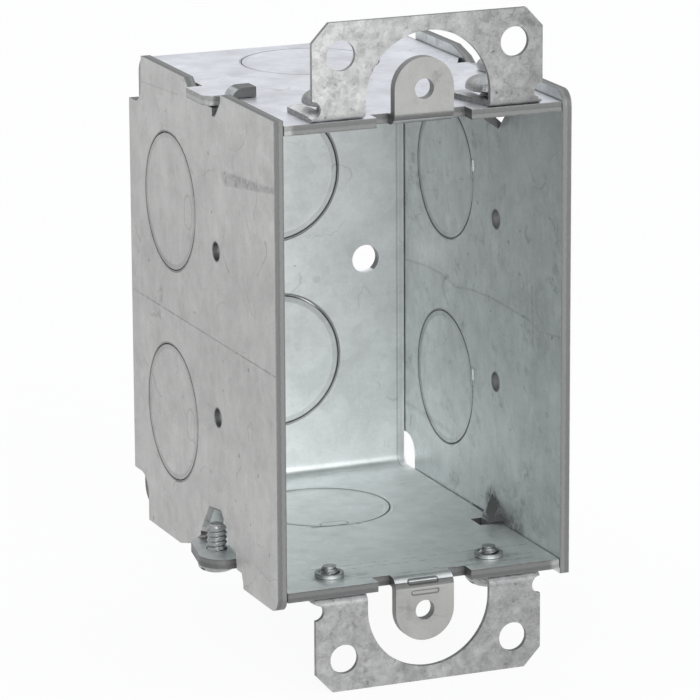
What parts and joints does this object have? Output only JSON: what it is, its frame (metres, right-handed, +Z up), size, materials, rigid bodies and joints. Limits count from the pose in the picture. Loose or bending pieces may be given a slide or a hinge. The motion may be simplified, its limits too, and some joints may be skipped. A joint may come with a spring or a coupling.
{
  "type": "steel electrical box",
  "caption": "Deep folded steel device box with removable side plates, round knockouts, bent device lugs and adjustable plaster ears held by slotted screws.",
  "frame": {"origin": "midway between the two device-screw holes, in the plane of the box's front edges", "axes": "+X across the box to the right as seen from the open front, +Y from the front to the back, +Z up along the height"},
  "size_m": [0.0568, 0.0639, 0.1062],
  "materials": {
    "body_steel": "galvanised, satin",
    "plate_steel": "galvanised, satin",
    "ear_steel": "spangled zinc, dull",
    "screw_steel": "zinc plated, bright"
  },
  "bodies": {
    "box": {"box_body": "body_steel", "left_side_plate": "plate_steel", "right_side_plate": "plate_steel"},
    "upper_ear": {"upper_ear": "ear_steel"},
    "lower_ear": {"lower_ear": "ear_steel"},
    "left_clamp_screw": {"left_clamp_screw": "screw_steel"},
    "right_clamp_screw": {"right_clamp_screw": "screw_steel"},
    "upper_ear_screw_left": {"upper_ear_screw_left": "screw_steel"},
    "upper_ear_screw_right": {"upper_ear_screw_right": "screw_steel"},
    "lower_ear_screw_left": {"lower_ear_screw_left": "screw_steel"},
    "lower_ear_screw_right": {"lower_ear_screw_right": "screw_steel"}
  },
  "joints": [
    {"name": "upper_ear_slide", "type": "slide", "parent": "box", "child": "upper_ear", "axis": [0, -1, 0], "range_m": [-0.0012, 0.002]},
    {"name": "lower_ear_slide", "type": "slide", "parent": "box", "child": "lower_ear", "axis": [0, -1, 0], "range_m": [-0.0012, 0.002]},
    {"name": "left_clamp_screw_turn", "type": "hinge", "parent": "box", "child": "left_clamp_screw", "pos_m": [-0.0244, 0.0274, -0.0378], "axis": [0, 0, -1], "continuous": true},
    {"name": "right_clamp_screw_turn", "type": "hinge", "parent": "box", "child": "right_clamp_screw", "pos_m": [0.0244, 0.0274, 0.0378], "axis": [0, 0, 1], "continuous": true},
    {"name": "upper_ear_screw_left_turn", "type": "hinge", "parent": "box", "child": "upper_ear_screw_left", "pos_m": [-0.0137, 0.0062, 0.03945], "axis": [0, 0, 1], "continuous": true},
    {"name": "upper_ear_screw_right_turn", "type": "hinge", "parent": "box", "child": "upper_ear_screw_right", "pos_m": [0.0137, 0.0062, 0.03945], "axis": [0, 0, 1], "continuous": true},
    {"name": "lower_ear_screw_left_turn", "type": "hinge", "parent": "box", "child": "lower_ear_screw_left", "pos_m": [-0.0137, 0.0062, -0.03865], "axis": [0, 0, -1], "continuous": true},
    {"name": "lower_ear_screw_right_turn", "type": "hinge", "parent": "box", "child": "lower_ear_screw_right", "pos_m": [0.0137, 0.0062, -0.03865], "axis": [0, 0, -1], "continuous": true}
  ]
}
